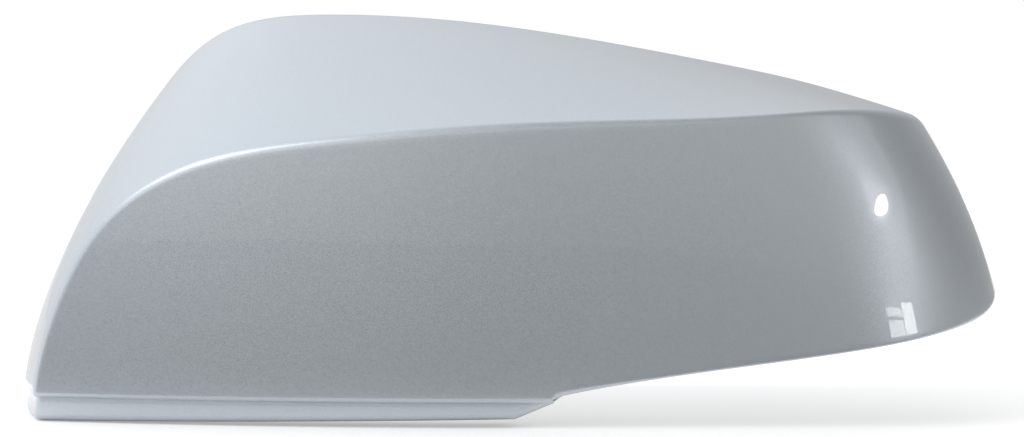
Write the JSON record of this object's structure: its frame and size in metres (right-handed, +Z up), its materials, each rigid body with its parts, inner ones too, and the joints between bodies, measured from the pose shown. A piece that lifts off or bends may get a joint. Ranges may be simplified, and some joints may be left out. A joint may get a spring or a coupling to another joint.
{
  "type": "wing mirror cover",
  "caption": "Moulded wing mirror cap with a creased shoulder, rolled door end, stepped lower lip, and snap clips and locating pegs inside.",
  "frame": {"origin": "middle of the cover's length and depth, at its lowest point", "axes": "+X along the cover from the outer end to the door end, +Y from the front face to the open rear, +Z up as fitted on the car"},
  "size_m": [0.2335, 0.0861, 0.0945],
  "materials": {
    "silver_paint": "silver metallic paint under clear lacquer",
    "bare_plastic": "fine satin grain from the mould"
  },
  "bodies": {
    "root": {"mirror_cover": "silver_paint"}
  },
  "joints": []
}
